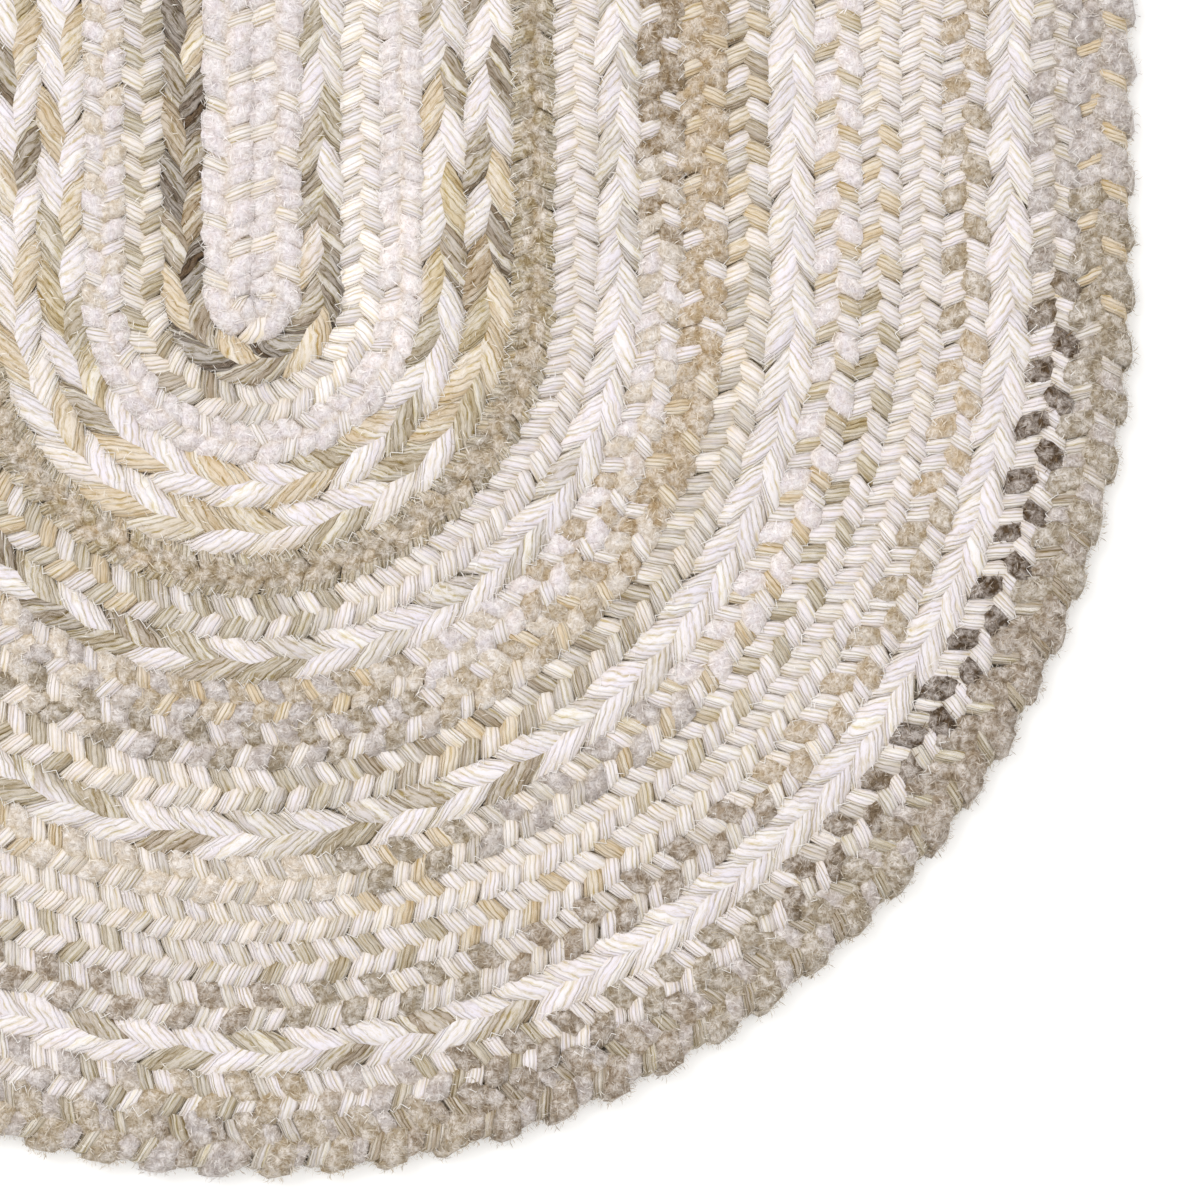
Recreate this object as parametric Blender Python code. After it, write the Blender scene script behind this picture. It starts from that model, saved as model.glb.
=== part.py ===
"""Oval braided rug, 24 by 36 inches, lying flat: nineteen flat three-strand braids sewn
side by side round a centre braid that is folded back on itself.

Units are metres and +Z is up. The origin is on the floor under the middle of the rug,
with +Y along its length. Each braid is one closed ring: two straight runs joined by two
half circles. Its section is flat where it lies on the floor and rounded on top, so the
rings read as ribs with a groove at every seam.
"""

import math
from collections import namedtuple

import bmesh
import bpy

MM = 0.001

# Driving sizes.
STRAIGHT_RUN = 304.8 * MM  # straight part of every ring, between the centres of its ends
SEAM_GAP = 0.3 * MM  # between neighbouring braids, where the sewing thread passes
CENTRE_SLIT = 0.6 * MM  # between the two runs of the folded centre braid
CENTRE_WIDTH = 16.6 * MM  # one run of the centre braid, from the rug's middle to its seam
ARC_STEPS = 24  # flat facets along each half-circle end

# The outermost braid bulges once for every turn of its thickest strand.
SCALLOP_PITCH = 20.0 * MM
SCALLOP_DEPTH = 2.0 * MM
POINTS_PER_SCALLOP = 2

# Kinds of braid: overall thickness, colour, roughness.
Yarn = namedtuple("Yarn", "thickness colour roughness")
YARNS = {
    "plait": Yarn(9.2 * MM, (0.78, 0.74, 0.67, 1.0), 0.85),
    "herringbone": Yarn(8.6 * MM, (0.72, 0.67, 0.58, 1.0), 0.88),
    "chenille": Yarn(9.0 * MM, (0.66, 0.60, 0.50, 1.0), 0.95),
}

# The braids from the centre out: kind, and the width that the row takes in the rug.
Braid = namedtuple("Braid", "kind width")
BRAIDS = (
    Braid("plait", 14.6 * MM),
    Braid("herringbone", 14.3 * MM),
    Braid("chenille", 13.0 * MM),
    Braid("plait", 16.0 * MM),
    Braid("plait", 16.8 * MM),
    Braid("chenille", 14.2 * MM),
    Braid("herringbone", 15.2 * MM),
    Braid("plait", 15.1 * MM),
    Braid("chenille", 14.2 * MM),
    Braid("chenille", 15.4 * MM),
    Braid("herringbone", 15.7 * MM),
    Braid("plait", 16.2 * MM),
    Braid("chenille", 15.0 * MM),
    Braid("herringbone", 14.4 * MM),
    Braid("herringbone", 15.1 * MM),
    Braid("chenille", 15.0 * MM),
    Braid("plait", 15.8 * MM),
    Braid("chenille", 15.9 * MM),
    Braid("chenille", 16.3 * MM),
)

# Half of a braid's section, from the floor up to its crown, as shares of the half width
# and of the thickness. The other half mirrors it.
SectionPoint = namedtuple("SectionPoint", "across up")
HALF_SECTION = (
    SectionPoint(0.68, 0.0),
    SectionPoint(1.0, 0.42),
    SectionPoint(0.64, 0.9),
)
CROWN = SectionPoint(0.0, 1.0)


def clear_scene():
    for obj in list(bpy.data.objects):
        bpy.data.objects.remove(obj, do_unlink=True)


def new_collection(name):
    collection = bpy.data.collections.new(name)
    bpy.context.scene.collection.children.link(collection)
    return collection


def yarn_material(kind):
    yarn = YARNS[kind]
    material = bpy.data.materials.new(kind + "_yarn")
    material.use_nodes = True
    shader = material.node_tree.nodes["Principled BSDF"]
    shader.inputs["Base Color"].default_value = yarn.colour
    shader.inputs["Roughness"].default_value = yarn.roughness
    shader.inputs["Metallic"].default_value = 0.0
    material.diffuse_color = yarn.colour
    return material


def oval_points(radius, arc_steps, run_steps):
    """Points of an oval, anticlockwise from above: two half circles of this radius,
    joined by straight runs, each in run_steps equal steps."""
    points = []
    for side in (1, -1):
        start_y = -side * STRAIGHT_RUN / 2
        for step in range(run_steps):
            y = start_y + side * STRAIGHT_RUN * step / run_steps
            points.append((side * radius, y, 0.0))
        for step in range(arc_steps):
            turn = math.pi * step / arc_steps
            x = side * radius * math.cos(turn)
            y = side * (STRAIGHT_RUN / 2 + radius * math.sin(turn))
            points.append((x, y, 0.0))
    return points


def closed_curve(name, points, collection):
    curve = bpy.data.curves.new(name, "CURVE")
    curve.dimensions = "2D"
    curve.fill_mode = "NONE"
    spline = curve.splines.new("POLY")
    spline.points.add(len(points) - 1)
    for spline_point, place in zip(spline.points, points):
        spline_point.co = (*place, 1.0)
    spline.use_cyclic_u = True
    obj = bpy.data.objects.new(name, curve)
    collection.objects.link(obj)
    return obj


def braid_section(name, width, thickness, guides):
    """The outline of one braid's cross-section, lying in a plane, as a guide curve."""
    right = [(p.across * width / 2, p.up * thickness, 0.0) for p in HALF_SECTION]
    left = [(-x, y, z) for x, y, z in reversed(right)]
    crown = [(CROWN.across, CROWN.up * thickness, 0.0)]
    obj = closed_curve(name + "_section", left[::-1] + crown + right[::-1], guides)
    obj.hide_render = True
    obj.display_type = "WIRE"
    return obj


def braid_ring(name, kind, radius, width, parts, guides, run_steps=1, arc_steps=ARC_STEPS):
    """One braid: its section carried round an oval whose end radius is radius."""
    path = closed_curve(name, oval_points(radius, arc_steps, run_steps), parts)
    path.data.bevel_mode = "OBJECT"
    path.data.bevel_object = braid_section(name, width, YARNS[kind].thickness, guides)
    return path


def as_mesh(curve_object, collection):
    """The curve's surface as a mesh object of the same name; the curve is removed."""
    name = curve_object.name
    bpy.context.view_layer.update()
    graph = bpy.context.evaluated_depsgraph_get()
    mesh = bpy.data.meshes.new_from_object(curve_object.evaluated_get(graph))
    place = curve_object.matrix_world.copy()
    bpy.data.objects.remove(curve_object, do_unlink=True)
    mesh.name = name
    shell = bmesh.new()
    shell.from_mesh(mesh)
    bmesh.ops.remove_doubles(shell, verts=shell.verts, dist=0.001 * MM)
    bmesh.ops.recalc_face_normals(shell, faces=shell.faces)
    shell.to_mesh(mesh)
    shell.free()
    obj = bpy.data.objects.new(name, mesh)
    obj.matrix_world = place
    collection.objects.link(obj)
    return obj


def oval_place(x, y):
    """(distance from the rug's spine, outward direction) of a point seen from above."""
    beyond = max(abs(y) - STRAIGHT_RUN / 2, 0.0) * math.copysign(1.0, y)
    reach = math.hypot(x, beyond)
    return reach, (x / reach, beyond / reach)


def scallop_edge(obj, radius, width, steps_round):
    """Draws the outer side of the braid in at every second step, so that it bulges
    between. A vertex's step round the oval gives its share of the depth."""
    steps = oval_points(radius, *steps_round)
    for vertex in obj.data.vertices:
        x, y, _ = vertex.co
        reach, (out_x, out_y) = oval_place(x, y)
        outwards = (reach - radius) / (width / 2)
        if outwards <= 0.0:
            continue
        on_line = (x - out_x * (reach - radius), y - out_y * (reach - radius))
        nearest = min(
            range(len(steps)),
            key=lambda i: math.hypot(steps[i][0] - on_line[0], steps[i][1] - on_line[1]),
        )
        if nearest % POINTS_PER_SCALLOP:
            vertex.co.x -= out_x * SCALLOP_DEPTH * outwards
            vertex.co.y -= out_y * SCALLOP_DEPTH * outwards


def dress(obj, material):
    obj.data.materials.clear()
    obj.data.materials.append(material)
    if obj.type == "MESH":
        obj.data.shade_smooth()
        obj.data.set_sharp_from_angle(angle=math.radians(50))


def build_centre(parts, guides, material):
    width = CENTRE_WIDTH - SEAM_GAP / 2 - CENTRE_SLIT / 2
    radius = CENTRE_SLIT / 2 + width / 2
    ring = braid_ring("centre_braid", "chenille", radius, width, parts, guides)
    dress(ring, material)


def build_outer(name, braid, radius, width, parts, guides, material):
    """The outermost braid, which has the finer steps that its scallops need."""
    step_length = SCALLOP_PITCH / POINTS_PER_SCALLOP
    arc_steps = 2 * round(math.pi * (radius + width / 2) / step_length / 2)
    run_steps = 2 * round(STRAIGHT_RUN / step_length / 2)
    curve = braid_ring(
        name, braid.kind, radius, width, parts, guides, run_steps, arc_steps
    )
    ring = as_mesh(curve, parts)
    scallop_edge(ring, radius, width, (arc_steps, run_steps))
    dress(ring, material)


def main():
    clear_scene()
    parts = new_collection("braided_rug")
    guides = new_collection("braid_sections")
    materials = {kind: yarn_material(kind) for kind in YARNS}

    build_centre(parts, guides, materials["chenille"])
    seam = CENTRE_WIDTH
    for number, braid in enumerate(BRAIDS, start=1):
        name = f"braid_{number:02d}_{braid.kind}"
        radius = seam + braid.width / 2
        width = braid.width - SEAM_GAP
        if number == len(BRAIDS):
            build_outer(name, braid, radius, width, parts, guides, materials[braid.kind])
        else:
            ring = braid_ring(name, braid.kind, radius, width, parts, guides)
            dress(ring, materials[braid.kind])
        seam += braid.width


main()
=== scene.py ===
"""Looks of the oval braided rug: every row as three real strands of yarn, in the frame
of the CAD model. Metres, +Z up, origin on the floor under the middle of the rug."""

import math
import random
from collections import namedtuple

import bpy
import numpy as np
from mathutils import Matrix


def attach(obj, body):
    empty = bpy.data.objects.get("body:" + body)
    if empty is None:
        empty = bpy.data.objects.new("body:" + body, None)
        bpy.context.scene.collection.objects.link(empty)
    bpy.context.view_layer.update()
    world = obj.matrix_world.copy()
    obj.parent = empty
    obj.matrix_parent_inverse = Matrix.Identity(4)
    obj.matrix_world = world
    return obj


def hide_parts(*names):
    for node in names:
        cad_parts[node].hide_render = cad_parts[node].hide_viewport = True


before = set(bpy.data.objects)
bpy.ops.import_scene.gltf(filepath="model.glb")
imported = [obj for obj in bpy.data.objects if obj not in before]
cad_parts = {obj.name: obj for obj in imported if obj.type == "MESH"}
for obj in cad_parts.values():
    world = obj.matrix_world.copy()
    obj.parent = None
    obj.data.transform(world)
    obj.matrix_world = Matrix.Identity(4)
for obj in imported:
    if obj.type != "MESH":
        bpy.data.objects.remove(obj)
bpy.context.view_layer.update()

MM = 0.001
STRAIGHT_RUN = 304.8 * MM
CENTRE_WIDTH = 16.6 * MM
CENTRE_SLIT = 0.6 * MM
MIDDLE_HEIGHT = 4.6 * MM  # of the rug, which is 9.2 mm thick

# Yarn colours as they look in plain daylight, in sRGB from 0 to 255.
YARNS = {
    "chalk": (246, 241, 243),
    "snow": (238, 233, 236),
    "white": (225, 219, 223),
    "cream": (227, 220, 219),
    "ivory": (227, 219, 210),
    "oat": (213, 199, 179),
    "sand": (203, 191, 173),
    "gold": (200, 185, 153),
    "peach": (208, 192, 168),
    "olive": (190, 176, 147),
    "brown": (180, 162, 135),
    "grey": (210, 203, 201),
    "stone": (189, 178, 161),
    "taupe": (184, 171, 156),
    "grey_brown": (160, 144, 124),
    "umber": (122, 101, 77),
}

# How each kind of braid is worked, in millimetres: period is one full turn of a strand and
# thick its thickness. spread is how far along the braid a strand reaches to each side of its
# middle, in degrees of a turn. skew is how far past the middle it starts its way over, and
# straight makes that way straighter. lap is how much its trailing side stands above the next
# strand, height is the top of the braid, press how far it presses into the rows beside it,
# and uneven how far it strays. points and steps set how fine its mesh is.
Weave = namedtuple(
    "Weave", "period thick spread skew straight lap height press uneven points steps"
)
WEAVES = {
    "plait": Weave(59.0, 4.9, 66.0, 2.2, 0.05, 0.4, 9.4, 2.1, 1.0, 9, 14),
    "herringbone": Weave(23.0, 4.4, 67.0, 1.4, 0.04, 0.0, 8.8, 2.2, 0.6, 7, 10),
    "chenille": Weave(20.0, 4.4, 70.0, 1.2, 0.04, 0.2, 8.9, 2.4, 0.9, 7, 10),
}

# A strand: its fibre, then the yarns it is dyed in. Each dye holds from one place round the
# ring up to the next: 0 to 1 is the right-hand run, 1 to 2 the near end, 2 to 3 the
# left-hand run and 3 to 4 the far end.
Strand = namedtuple("Strand", "fibre dyes")
Dye = namedtuple("Dye", "start yarns")


def cotton(*dyes):
    return Strand("cotton", dyes)


def mixed(*dyes):
    """Cotton yarns round a chenille one, which blooms in the middle of the braid."""
    return Strand("mixed", dyes)


def fluffy(*dyes):
    return Strand("chenille", dyes)


def dye(start, *yarns):
    return Dye(start, yarns)


def all_of(*yarns):
    """These yarns all the way round."""
    return Dye(0, yarns)


WHITE = cotton(all_of("white"))

# The rows from the middle out, each with its width in millimetres and its three strands.
Row = namedtuple("Row", "node kind width strands")
ROWS = (
    Row("centre_braid", "chenille", 16.45, (
        fluffy(all_of("snow")), fluffy(all_of("snow")), cotton(all_of("cream")),
    )),
    Row("braid_01_plait", "plait", 14.6, (
        cotton(
            dye(0, "grey_brown", "taupe", "stone", "white"),
            dye(0.85, "umber", "umber", "grey_brown"), dye(2.9, "grey_brown", "grey"),
        ),
        cotton(
            dye(0, "white", "grey"), dye(0.95, "oat", "brown", "white", "oat"),
            dye(3.0, "white"),
        ),
        cotton(
            dye(0, "oat", "taupe", "cream"), dye(0.9, "taupe", "brown", "grey_brown"),
            dye(3.0, "oat"),
        ),
    )),
    Row("braid_02_herringbone", "herringbone", 14.3, (
        cotton(dye(0, "white"), dye(1.35, "stone", "taupe"), dye(3.2, "white")),
        cotton(dye(0, "white", "snow"), dye(1.0, "white", "cream")),
        cotton(dye(0, "snow"), dye(1.3, "cream", "grey")),
    )),
    Row("braid_03_chenille", "chenille", 13.0, (
        fluffy(dye(0, "chalk"), dye(1.2, "snow")),
        fluffy(dye(0, "chalk"), dye(1.2, "ivory", "snow")),
        WHITE,
    )),
    Row("braid_04_plait", "plait", 16.0, (
        WHITE,
        cotton(all_of("oat", "gold", "white", "oat", "white", "sand")),
        cotton(all_of("white", "white", "stone", "taupe")),
    )),
    Row("braid_05_plait", "plait", 16.8, (
        cotton(all_of("white", "oat")),
        cotton(
            dye(0, "brown", "gold", "oat", "umber", "white"),
            dye(1.3, "white", "cream", "oat", "white"), dye(2.1, "brown", "gold", "oat"),
        ),
        cotton(
            dye(0, "stone", "grey_brown", "olive", "grey_brown"),
            dye(1.3, "white", "sand", "white"), dye(2.1, "stone", "grey_brown", "olive"),
        ),
    )),
    Row("braid_06_chenille", "chenille", 14.2, (
        mixed(dye(0, "olive", "sand"), dye(1.0, "sand")),
        mixed(all_of("olive", "stone")),
        mixed(dye(0, "sand", "brown"), dye(1.0, "oat", "sand")),
    )),
    Row("braid_07_herringbone", "herringbone", 15.2, (
        cotton(dye(0, "white"), dye(1.4, "stone", "taupe"), dye(2.8, "cream")),
        WHITE,
        cotton(dye(0, "white", "cream"), dye(1.45, "oat", "grey")),
    )),
    Row("braid_08_plait", "plait", 15.1, (
        WHITE,
        cotton(dye(0, "white"), dye(1.25, "white", "grey", "stone"), dye(2.2, "white")),
        cotton(
            dye(0, "grey", "white", "stone"), dye(1.1, "grey", "grey_brown", "taupe"),
            dye(2.2, "grey", "white"),
        ),
    )),
    Row("braid_09_chenille", "chenille", 14.2, (
        fluffy(
            dye(0, "brown"), dye(0.85, "snow", "ivory", "oat"),
            dye(1.4, "sand", "ivory", "grey"), dye(2.6, "taupe"),
        ),
        fluffy(
            dye(0, "brown"), dye(0.8, "snow", "ivory"), dye(1.35, "ivory", "grey", "ivory"),
            dye(2.6, "cream"),
        ),
        cotton(dye(0, "white"), dye(1.4, "oat", "white"), dye(2.6, "white")),
    )),
    Row("braid_10_chenille", "chenille", 15.4, (
        fluffy(dye(0, "peach", "oat"), dye(1.25, "stone", "sand"), dye(2.5, "peach")),
        fluffy(dye(0, "peach"), dye(1.2, "grey", "ivory"), dye(2.5, "peach")),
        cotton(dye(0, "oat", "white"), dye(1.3, "white", "cream")),
    )),
    Row("braid_11_herringbone", "herringbone", 15.7, (
        cotton(all_of("stone", "grey", "oat")), cotton(all_of("cream", "white")),
        cotton(
            dye(0, "taupe", "grey", "cream"), dye(1.1, "taupe", "grey"),
            dye(1.4, "grey", "cream"),
        ),
    )),
    Row("braid_12_plait", "plait", 16.2, (
        WHITE,
        cotton(dye(0, "white"), dye(1.2, "stone", "grey", "taupe"), dye(2.4, "white")),
        cotton(dye(0, "white"), dye(1.3, "grey", "white", "stone"), dye(2.4, "white")),
    )),
    Row("braid_13_chenille", "chenille", 15.0, (
        fluffy(dye(0, "snow", "grey", "snow"), dye(1.3, "ivory", "grey", "stone")),
        cotton(dye(0, "oat", "sand"), dye(1.3, "oat", "grey")),
        cotton(dye(0, "white"), dye(1.3, "cream", "white")),
    )),
    Row("braid_14_herringbone", "herringbone", 14.4, (
        cotton(dye(0, "white"), dye(1.38, "white", "cream")),
        WHITE,
        cotton(
            dye(0, "oat", "sand", "cream"), dye(1.0, "stone", "sand", "olive"),
            dye(1.3, "oat", "grey", "cream"),
        ),
    )),
    Row("braid_15_herringbone", "herringbone", 15.1, (
        WHITE, WHITE,
        cotton(dye(0, "white", "cream"), dye(1.2, "cream", "oat"), dye(1.4, "stone", "grey")),
    )),
    Row("braid_16_chenille", "chenille", 15.0, (
        fluffy(
            dye(0, "oat", "sand", "cream"), dye(1.0, "sand", "stone", "oat", "ivory"),
            dye(1.25, "taupe", "stone", "taupe"),
        ),
        WHITE,
        cotton(dye(0, "white"), dye(1.2, "cream", "grey")),
    )),
    Row("braid_17_plait", "plait", 15.8, (
        WHITE, WHITE,
        cotton(dye(0, "white"), dye(1.35, "stone", "taupe", "white")),
    )),
    Row("braid_18_chenille", "chenille", 15.9, (
        fluffy(
            dye(0, "stone", "taupe", "grey"), dye(0.98, "grey_brown"), dye(1.03, "umber"),
            dye(1.17, "grey_brown", "umber"), dye(1.25, "taupe", "grey_brown", "stone"),
            dye(1.4, "sand", "grey"),
        ),
        WHITE,
        cotton(
            dye(0, "grey", "white"), dye(1.02, "white"), dye(1.2, "grey", "white"),
            dye(1.35, "stone", "white"),
        ),
    )),
    Row("braid_19_chenille", "chenille", 16.3, (
        fluffy(
            dye(0, "grey", "stone", "grey"), dye(0.98, "taupe", "stone"),
            dye(1.3, "stone", "taupe"), dye(1.42, "grey", "sand"),
        ),
        cotton(dye(0, "grey", "oat"), dye(0.98, "taupe", "stone", "grey")),
        fluffy(dye(0, "grey", "stone", "grey"), dye(1.0, "taupe", "grey")),
    )),
)


def linear(yarn):
    """A yarn's colour in linear light."""
    shares = np.array(YARNS[yarn]) / 255.0
    return np.where(shares <= 0.04045, shares / 12.92, ((shares + 0.055) / 1.055) ** 2.4)


# --- Node trees ---


def new_tree(name, inputs):
    """A Geometry Nodes tree with named inputs, given as {socket type: names}."""
    tree = bpy.data.node_groups.new(name, "GeometryNodeTree")
    for kind, labels in inputs.items():
        for label in labels:
            tree.interface.new_socket(label, in_out="INPUT", socket_type="NodeSocket" + kind)
    tree.interface.new_socket("Geometry", in_out="OUTPUT", socket_type="NodeSocketGeometry")
    return tree


class Nodes:
    """Adds nodes to a tree. A node's sockets are fed by name or number, with a constant or
    with another node, which then stands for its first output."""

    def __init__(self, tree):
        self.tree = tree
        if tree.bl_idname == "GeometryNodeTree":
            self.given = tree.nodes.new("NodeGroupInput").outputs

    def feed(self, socket, value):
        """Links or sets a socket. None leaves it as it is."""
        if isinstance(value, bpy.types.Node):
            value = next(out for out in value.outputs if out.enabled)
        if isinstance(value, bpy.types.NodeSocket):
            self.tree.links.new(value, socket)
        elif value is not None:
            socket.default_value = value

    def add(self, kind, feeds=None, **settings):
        node = self.tree.nodes.new(kind)
        for key, value in settings.items():
            setattr(node, key, value)
        for label, value in (feeds or {}).items():
            if isinstance(label, int):
                socket = node.inputs[label]
            else:
                socket = next(s for s in node.inputs if s.name == label and s.enabled)
            self.feed(socket, value)
        return node

    def math(self, operation, a, b=None):
        return self.add("ShaderNodeMath", {0: a, 1: b}, operation=operation)

    def plus(self, a, b):
        return self.math("ADD", a, b)

    def minus(self, a, b):
        return self.math("SUBTRACT", a, b)

    def times(self, a, b):
        return self.math("MULTIPLY", a, b)

    def over(self, a, b):
        return self.math("DIVIDE", a, b)

    def sin(self, angle):
        return self.math("SINE", angle)

    def cos(self, angle):
        return self.math("COSINE", angle)

    def most(self, a, b):
        return self.math("MAXIMUM", a, b)

    def size(self, a):
        return self.math("ABSOLUTE", a)

    def vector(self, operation, a, b=None):
        return self.add("ShaderNodeVectorMath", {0: a, 1: b}, operation=operation)

    def scaled(self, vector, scale):
        node = self.vector("SCALE", vector)
        self.feed(node.inputs["Scale"], scale)
        return node

    def xyz(self, x, y, z):
        return self.add("ShaderNodeCombineXYZ", {0: x, 1: y, 2: z})

    def lifted(self, place, height):
        return self.vector("ADD", place, self.xyz(0.0, 0.0, height))

    def height_of(self, vector):
        return self.add("ShaderNodeSeparateXYZ", {0: vector}).outputs["Z"]

    def noise(self, where, scale, detail=2.0, roughness=0.5, output="Fac"):
        feeds = {"Vector": where, "Scale": scale, "Detail": detail, "Roughness": roughness}
        return self.add("ShaderNodeTexNoise", feeds).outputs[output]

    def chance(self, low, high, seed):
        feeds = {"Min": low, "Max": high, "Seed": seed}
        return self.add("FunctionNodeRandomValue", feeds, data_type="FLOAT")

    def stored(self, name, kind="FLOAT"):
        return self.add("GeometryNodeInputNamedAttribute", {"Name": name}, data_type=kind)

    def store(self, geometry, name, value, kind="FLOAT"):
        feeds = {"Geometry": geometry, "Name": name, "Value": value}
        settings = {"data_type": kind, "domain": "POINT"}
        return self.add("GeometryNodeStoreNamedAttribute", feeds, **settings)

    def switch(self, test, if_not, if_so, kind="FLOAT"):
        feeds = {"Switch": test, "False": if_not, "True": if_so}
        return self.add("GeometryNodeSwitch", feeds, input_type=kind)

    def move(self, geometry, position):
        return self.add("GeometryNodeSetPosition", {"Geometry": geometry, "Position": position})

    def circle(self, points, radius):
        feeds = {"Resolution": points, "Radius": radius}
        return self.add("GeometryNodeCurvePrimitiveCircle", feeds)

    def sweep(self, path, section):
        feeds = {"Curve": path, "Profile Curve": section, "Fill Caps": False}
        return self.add("GeometryNodeCurveToMesh", feeds)

    def smooth(self, geometry):
        feeds = {"Geometry": geometry, "Shade Smooth": True}
        return self.add("GeometryNodeSetShadeSmooth", feeds)

    def realize(self, geometry):
        return self.add("GeometryNodeRealizeInstances", {"Geometry": geometry})

    def cover(self, geometry, material, where=None):
        feeds = {"Geometry": geometry, "Selection": where, "Material": material}
        return self.add("GeometryNodeSetMaterial", feeds)

    def give(self, geometry):
        """Makes this geometry the tree's result."""
        self.feed(self.tree.nodes.new("NodeGroupOutput").inputs[0], geometry)


def ring_length(n, radius, run):
    """Nodes for the length of an oval whose ends have this radius."""
    return n.times(n.plus(run, n.times(radius, math.pi)), 2.0)


def oval_place(n, along, radius, run):
    """Nodes for a place on an oval, a distance along it clockwise from above: (position,
    outward direction)."""
    half = n.plus(run, n.times(radius, math.pi))
    side = n.math("FLOOR", n.over(along, half))
    rest = n.minus(along, n.times(side, half))
    turn = n.over(n.most(n.minus(rest, run), 0.0), radius)
    straight = n.math("MINIMUM", rest, run)
    sign = n.minus(1.0, n.times(n.math("MODULO", side, 2.0), 2.0))
    out = n.xyz(n.cos(turn), n.times(n.sin(turn), -1.0), 0.0)
    spine = n.xyz(0.0, n.minus(n.times(run, 0.5), straight), 0.0)
    place = n.vector("ADD", spine, n.scaled(out, radius))
    return n.scaled(place, sign), n.scaled(out, sign)


# --- The tree that plaits a braid ---

# A strand's section is a circle pushed out by these powers: the smaller, the fuller.
POWER_ACROSS = 0.78
POWER_DEEP = 0.95
# It is widest halfway over the braid, and narrows towards where it goes under the others.
NARROWEST = 0.9
WIDENING = 0.18
LAP_SHARPNESS = 1.6  # how suddenly the lap changes over to the other side of the strand
LEAST_SLOPE = 0.3 * MM

# How a strand strays on its way round: how many bends to a metre, the place in the noise,
# and how far, as a share of the braid's unevenness.
Stray = namedtuple("Stray", "bends place share")
STRAY_ALONG = Stray(9.0, 0.0, 1.5)
STRAY_SIDEWAYS = Stray(14.0, 11.0, 0.4)
STRAY_UP = Stray(16.0, 23.0, 0.25)
STRAY_GIRTH = Stray(20.0, 31.0, 90.0)

# The soft surface of a strand: lumps in and out, and raggedness in every direction.
LUMPS_SCALE = 300.0
RAGGED_SCALE = 420.0
LUMPS_MIDDLE = 0.45
NO_LIMIT = -9.0  # metres, lower than any x or y in the rug


class Strands(Nodes):
    """Nodes for three strands: which one a point is on, how many turns it has made and its
    share of the way round the ring."""

    def __init__(self, tree):
        super().__init__(tree)
        given = self.given
        self.strand = self.stored("strand", "INT")
        self.turns = self.stored("turns")
        self.length = ring_length(self, given["End radius"], given["Straight run"])
        turns_ahead = self.plus(self.turns, self.over(self.strand, 3.0))
        self.share = self.math("FRACT", self.over(turns_ahead, given["Periods"]))

    def is_strand(self, number):
        feeds = {"A": self.strand, "B": number}
        return self.add("FunctionNodeCompare", feeds, data_type="INT", operation="EQUAL")

    def of_strand(self, label):
        """The number given for the strand that a point is on."""
        value = self.given[label + " 1"]
        for number in (1, 2):
            own = self.given[f"{label} {number + 1}"]
            value = self.switch(self.is_strand(number), value, own)
        return value

    def wander(self, stray):
        """Smooth noise round the ring that meets itself, with its own place for each strand."""
        angle = self.times(self.share, 2 * math.pi)
        radius = self.times(self.length, stray.bends)
        own_place = self.times(self.plus(self.given["Seed"], self.times(self.strand, 7.3)), 3.1)
        where = self.xyz(
            self.times(self.cos(angle), radius),
            self.times(self.sin(angle), radius),
            self.plus(own_place, stray.place),
        )
        wave = self.times(self.minus(self.noise(where, 1.0, 1.0), 0.5), 4.0)
        return self.times(wave, self.times(self.given["Unevenness"], stray.share))


def plain_tubes(n):
    """A tube on a circle for each strand, whose points know their place in the section."""
    steps, points = n.given["Steps per period"], n.given["Section points"]
    ring = n.circle(n.times(n.given["Periods"], steps), 1.0)
    three = n.add(
        "GeometryNodeDuplicateElements", {"Geometry": ring, "Amount": 3}, domain="SPLINE"
    )
    index = n.add("GeometryNodeSplineParameter").outputs["Index"]
    path = n.store(three, "strand", three.outputs["Duplicate Index"], "INT")
    path = n.store(path, "turns", n.over(index, steps))
    section = n.circle(points, 1.0 * MM)
    angle = n.times(n.over(n.add("GeometryNodeInputIndex"), points), 2 * math.pi)
    section = n.store(section, "across", n.cos(angle))
    section = n.store(section, "deep", n.sin(angle))
    return n.sweep(path, section)


def pushed_out(n, value, power):
    """A circle's cosine or sine, pushed out towards a fuller section if power is under 1."""
    return n.times(n.math("SIGN", value), n.math("POWER", n.size(value), power))


def section_place(n, phase, girth):
    """Where a point is in its strand's section, which is taken at one phase, so that the
    strand's width runs along the braid: (radians ahead of the middle, metres above it)."""
    given = n.given
    across = n.stored("across")
    spread = n.times(given["Strand spread"], girth)
    ahead = n.times(pushed_out(n, across, POWER_ACROSS), spread)
    halfway_over = n.most(n.sin(n.times(phase, 2.0)), 0.0)
    ahead = n.times(ahead, n.plus(n.times(halfway_over, WIDENING), NARROWEST))
    half = n.times(given["Strand thickness"], 0.5)
    above = n.times(n.times(pushed_out(n, n.stored("deep"), POWER_DEEP), half), girth)
    side = n.plus(n.cos(phase), n.sin(phase))
    side = n.math("MINIMUM", n.times(side, LAP_SHARPNESS), 1.0)
    side = n.most(side, -1.0)
    return ahead, n.minus(above, n.times(n.times(given["Lap"], across), side))


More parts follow.
